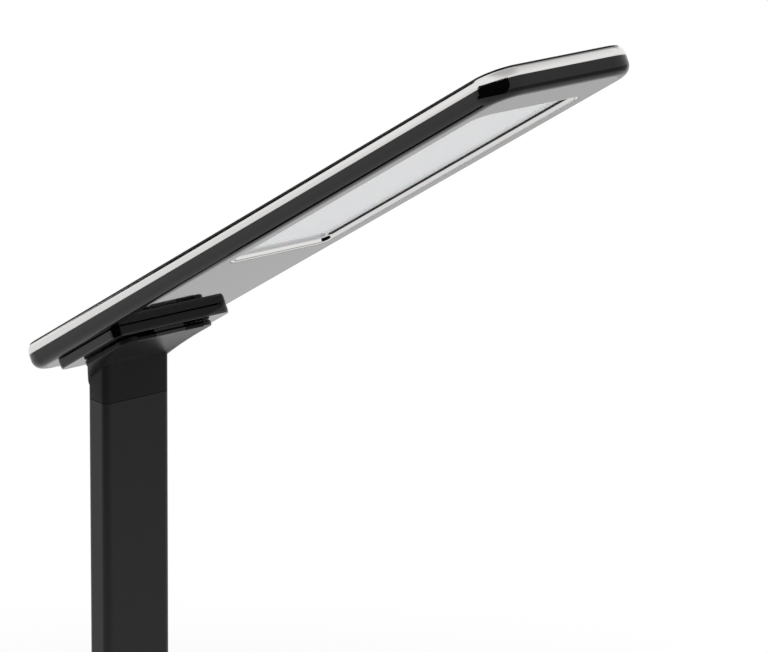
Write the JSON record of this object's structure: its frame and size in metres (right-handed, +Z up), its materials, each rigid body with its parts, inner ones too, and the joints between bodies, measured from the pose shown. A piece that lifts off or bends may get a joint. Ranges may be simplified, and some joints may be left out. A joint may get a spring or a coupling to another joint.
{
  "type": "folding desk lamp",
  "caption": "Folding desk lamp: slab base, flat upright arm, flared neck with a hinge plate, and a long slim light head with a bright band that tilts, swivels and folds down.",
  "frame": {"origin": "centre of the underside of the base, on the surface that the lamp stands on", "axes": "+Z up, +Y the way the head points, +X to the side along the hinge pins"},
  "size_m": [0.13, 0.3397, 0.5492],
  "materials": {
    "black_gloss": "moulded, polished",
    "black_satin": "moulded, fine satin",
    "black_metal": "extruded, black anodised",
    "black_cast": "die-cast, black powder coat",
    "bright_band": "polished bright plating",
    "diffuser_white": "opal acrylic, satin",
    "clear_guide": "clear moulded acrylic",
    "white_sheet": "white reflecting sheet",
    "steel": "zinc plated steel",
    "black_steel": "stamped, black oxide",
    "spring_steel": "oiled spring steel",
    "brass": "turned",
    "board": "solder mask on glass laminate",
    "rubber": "moulded, matt",
    "wire": "insulated lead"
  },
  "bodies": {
    "base": {"non_slip_pad": "rubber", "base_tray": "black_satin", "base_band": "bright_band", "base_cover": "black_gloss", "ballast_plate": "steel", "control_board": "board", "touch_electrodes": "brass", "touch_panel": "black_gloss", "power_inlet": "black_satin", "base_screws": "steel", "hinge_bracket": "black_cast", "bracket_screws": "steel", "base_hinge_pin": "steel", "base_hinge_nut": "steel", "friction_washers": "brass"},
    "arm": {"arm_foot": "black_cast", "arm_tube": "black_metal", "arm_screws": "spring_steel", "arm_wires": "wire", "neck": "black_gloss", "neck_leaf": "black_steel", "leaf_screws": "steel"},
    "hinge_plate": {"plate_body": "black_gloss", "plate_tray": "black_gloss", "tilt_pins": "steel", "swivel_shaft": "steel", "plate_screws": "steel", "swivel_washer": "brass", "swivel_circlip": "spring_steel"},
    "head": {"head_body": "black_gloss", "head_band": "bright_band", "head_cover": "black_gloss", "underside_panel": "black_gloss", "light_bezel": "bright_band", "diffuser": "diffuser_white", "light_guide": "clear_guide", "led_strips": "white_sheet", "reflector": "white_sheet", "driver_board": "board", "swivel_plate": "steel", "head_screws": "steel"}
  },
  "joints": [
    {"name": "arm_lean", "type": "hinge", "parent": "base", "child": "arm", "pos_m": [0, -0.045, 0.029], "axis": [1, 0, 0], "range_deg": [-35, 20]},
    {"name": "head_tilt", "type": "hinge", "parent": "arm", "child": "hinge_plate", "pos_m": [0, -0.01442, 0.37047], "axis": [1, 0, 0], "range_deg": [-121, 0]},
    {"name": "head_swivel", "type": "hinge", "parent": "hinge_plate", "child": "head", "pos_m": [0, -0.03468, 0.36537], "axis": [0, -0.521, 0.8536], "range_deg": [-90, 90]}
  ]
}
